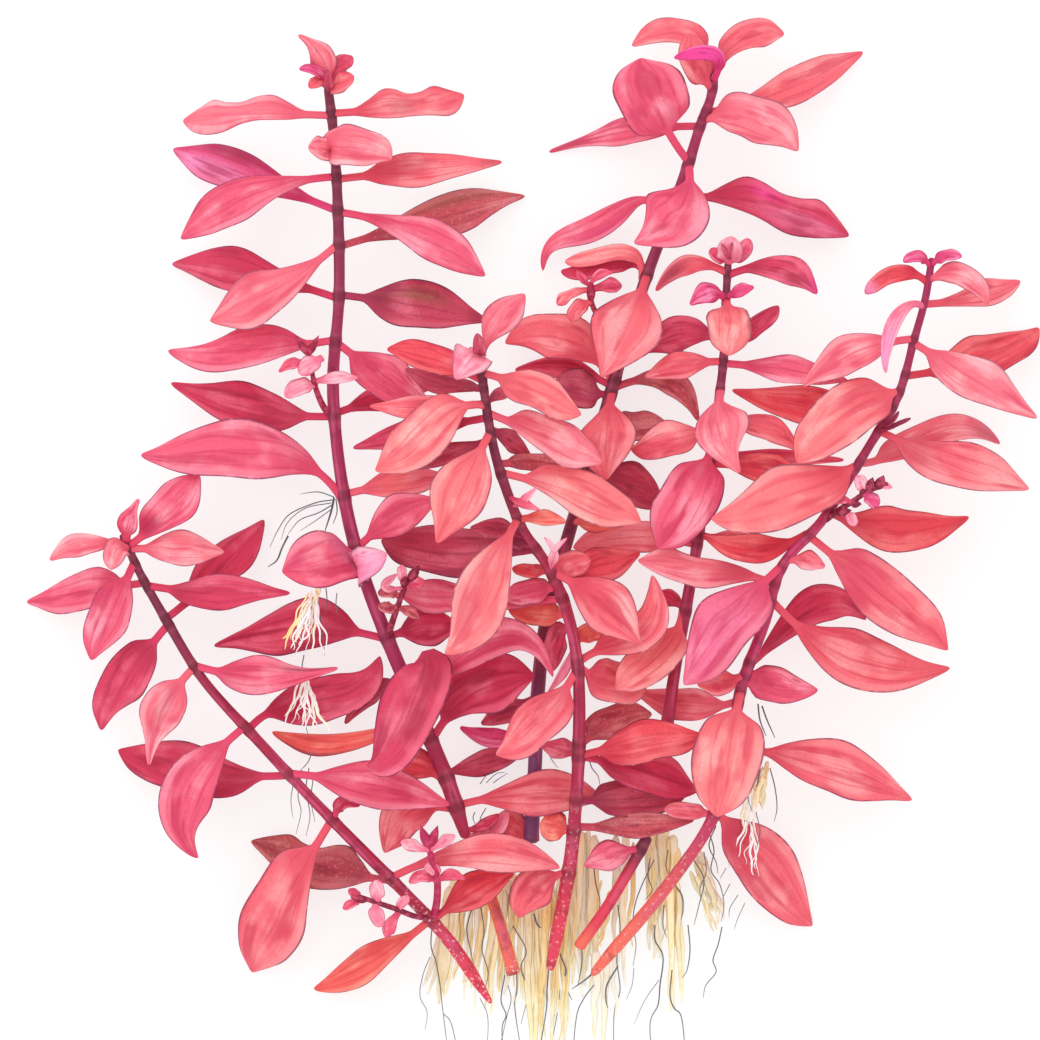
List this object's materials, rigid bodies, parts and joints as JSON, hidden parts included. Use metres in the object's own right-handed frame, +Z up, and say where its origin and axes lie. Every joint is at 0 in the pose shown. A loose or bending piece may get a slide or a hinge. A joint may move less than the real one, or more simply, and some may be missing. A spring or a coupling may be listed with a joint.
{
  "type": "red ludwigia palustris bunch",
  "caption": "Bushy bunch of red-leaved aquarium stem plants with paired lance-shaped leaves, side shoots and a mass of roots, lying as picked on a surface.",
  "frame": {"origin": "on the surface that the bunch lies on, under the middle of its roots", "axes": "+Z up from the surface, +Y from the roots towards the shoot tips, +X to the right when the bunch is looked down on with its tips away from the viewer"},
  "size_m": [0.1821, 0.1916, 0.0354],
  "materials": {
    "leaf_salmon": "satin leaf skin, salmon with darker curved veins",
    "leaf_coral": "satin leaf skin, coral red with darker curved veins",
    "leaf_rose": "satin leaf skin, rose red with darker curved veins",
    "leaf_crimson": "satin leaf skin, deep crimson with darker veins",
    "stem": "smooth round plant stem, burgundy to magenta crimson",
    "side_shoot": "tiny pink leaves round dark buds",
    "root": "fine ochre and cream root strands with thin dark grey ones"
  },
  "bodies": {
    "root": {"aerial_roots_left": "root", "aerial_roots_right": "root", "leaf_back_10": "leaf_crimson", "leaf_back_12": "leaf_coral", "leaf_back_4": "leaf_rose", "leaf_back_8": "leaf_rose", "leaf_front_11": "leaf_salmon", "leaf_front_12": "leaf_salmon", "leaf_front_13": "leaf_coral", "leaf_front_15": "leaf_coral", "leaf_front_4": "leaf_salmon", "leaf_front_6": "leaf_salmon", "leaf_front_9": "leaf_salmon", "leaf_left_tall_11": "leaf_salmon", "leaf_left_tall_13": "leaf_crimson", "leaf_left_tall_14": "leaf_rose", "leaf_left_tall_16": "leaf_crimson", "leaf_left_tall_18": "leaf_rose", "leaf_left_tall_21": "leaf_rose", "leaf_left_tall_25": "leaf_crimson", "leaf_left_tall_26": "leaf_crimson", "leaf_left_tall_3": "leaf_salmon", "leaf_left_tall_8": "leaf_rose", "leaf_left_tall_9": "leaf_rose", "leaf_low_left_10": "leaf_crimson", "leaf_low_left_13": "leaf_rose", "leaf_low_left_16": "leaf_rose", "leaf_low_left_17": "leaf_coral", "leaf_low_left_7": "leaf_rose", "leaf_middle_10": "leaf_salmon", "leaf_middle_12": "leaf_rose", "leaf_middle_5": "leaf_salmon", "leaf_right_10": "leaf_salmon", "leaf_right_12": "leaf_coral", "leaf_right_14": "leaf_salmon", "leaf_right_16": "leaf_coral", "leaf_right_17": "leaf_rose", "leaf_right_18": "leaf_coral", "leaf_right_21": "leaf_salmon", "leaf_right_8": "leaf_salmon", "roots_far_left": "root", "roots_far_right": "root", "roots_left": "root", "roots_middle": "root", "roots_of_left_stem": "root", "roots_right": "root", "shoot_back": "side_shoot", "shoot_left_lower": "side_shoot", "shoot_left_upper": "side_shoot", "shoot_low_side": "side_shoot", "shoot_low_upper": "side_shoot", "shoot_right": "side_shoot", "stem_back": "stem", "stem_front": "stem", "stem_left_tall": "stem", "stem_low_left": "stem", "stem_middle": "stem", "stem_right": "stem", "stem_short_left": "stem", "stem_short_right": "stem"}
  },
  "joints": []
}
